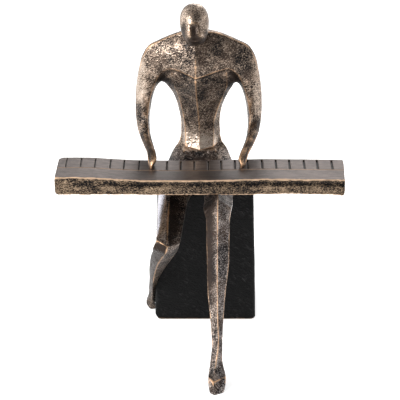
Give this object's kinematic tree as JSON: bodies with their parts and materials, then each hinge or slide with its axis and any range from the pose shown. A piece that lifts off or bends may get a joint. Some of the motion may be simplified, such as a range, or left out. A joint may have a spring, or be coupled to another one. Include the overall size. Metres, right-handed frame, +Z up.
{
  "type": "statuette",
  "caption": "Abstract faceless bronze musician seated on a dark tapered block, bent over a long keyboard slab; decorative figure that stands on a shelf or table.",
  "frame": {"origin": "centre of the block's underside, on the felt's rest plane", "axes": "+X to the right of somebody facing the figure, -Y the way the figure faces, +Z up"},
  "size_m": [0.2826, 0.2802, 0.3401],
  "materials": {
    "bronze": "antique patinated bronze, rubbed bright on the ridges",
    "keyboard_bronze": "antique patinated bronze, smooth on top, stippled in front",
    "black_block": "satin black lacquer over a rough casting",
    "steel": "plain turned steel",
    "felt": "dense black wool felt"
  },
  "bodies": {
    "root": {"head": "bronze", "torso": "bronze", "right_arm": "bronze", "left_arm": "bronze", "pelvis": "bronze", "left_thigh": "bronze", "left_lower_leg": "bronze", "right_thigh": "bronze", "right_lower_leg": "bronze", "keyboard": "keyboard_bronze", "block": "black_block", "base_plate": "steel", "base_plate_screws": "steel", "felt_pad": "felt", "neck_dowel": "steel", "shoulder_dowels": "steel", "waist_dowels": "steel", "hip_dowels": "steel", "knee_dowels": "steel", "keyboard_dowels": "steel", "hand_pins": "steel", "foot_pin": "steel", "seat_studs": "steel", "seat_washers": "steel", "seat_nuts": "steel"}
  },
  "joints": []
}
